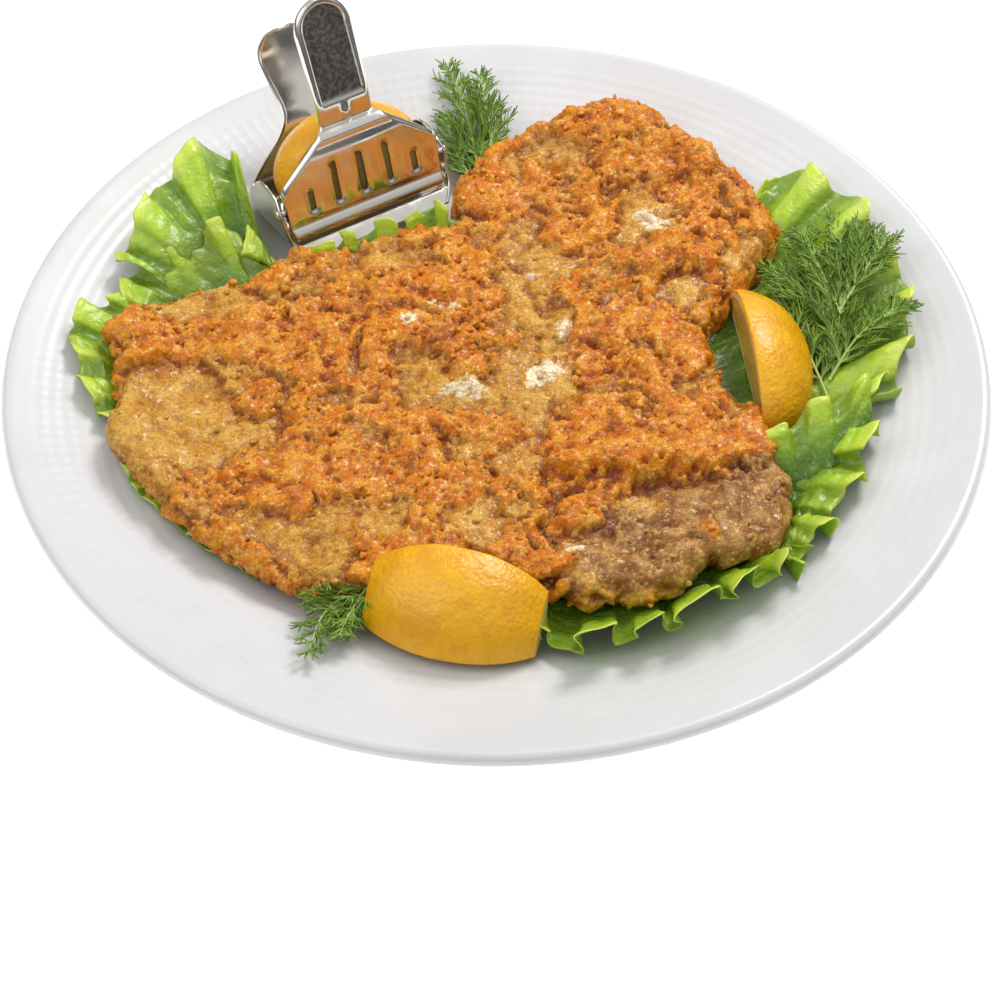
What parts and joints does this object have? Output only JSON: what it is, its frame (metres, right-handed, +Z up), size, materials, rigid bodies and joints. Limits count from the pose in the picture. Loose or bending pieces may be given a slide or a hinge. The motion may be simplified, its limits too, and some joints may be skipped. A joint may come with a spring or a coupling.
{
  "type": "plated schnitzel",
  "caption": "Large pan-fried schnitzel on a round rimmed plate with salad leaves, dill, lemon wedges and a hinged lemon wedge squeezer.",
  "frame": {"origin": "centre of the plate's foot, on the table", "axes": "+Z up, +Y to the far side of the plate as served, +X to its right"},
  "size_m": [0.32, 0.32, 0.0911],
  "materials": {
    "porcelain": "glossy white glaze",
    "crust": "fried egg-and-flour crust, oily",
    "lettuce": "fresh leaf, satin",
    "dill": "fresh herb, matte",
    "lemon": "pitted waxy peel",
    "steel": "polished stamped sheet"
  },
  "bodies": {
    "dish": {"plate": "porcelain", "schnitzel": "crust", "lettuce_back_left": "lettuce", "lettuce_left": "lettuce", "lettuce_front_left": "lettuce", "lettuce_middle": "lettuce", "lettuce_right": "lettuce", "lettuce_front_right": "lettuce", "lettuce_front": "lettuce", "dill_back": "dill", "dill_right": "dill", "dill_front": "dill", "lemon_front": "lemon", "lemon_right": "lemon", "lemon_squeezed": "lemon", "squeezer_tray": "steel", "rivet_left": "steel", "rivet_right": "steel"},
    "press": {"squeezer_press": "steel"}
  },
  "joints": [
    {"name": "press_hinge", "type": "hinge", "parent": "dish", "child": "press", "pos_m": [-0.04616, 0.0783, 0.0296], "axis": [0.8572, 0.515, 0], "range_deg": [0, 30]}
  ]
}
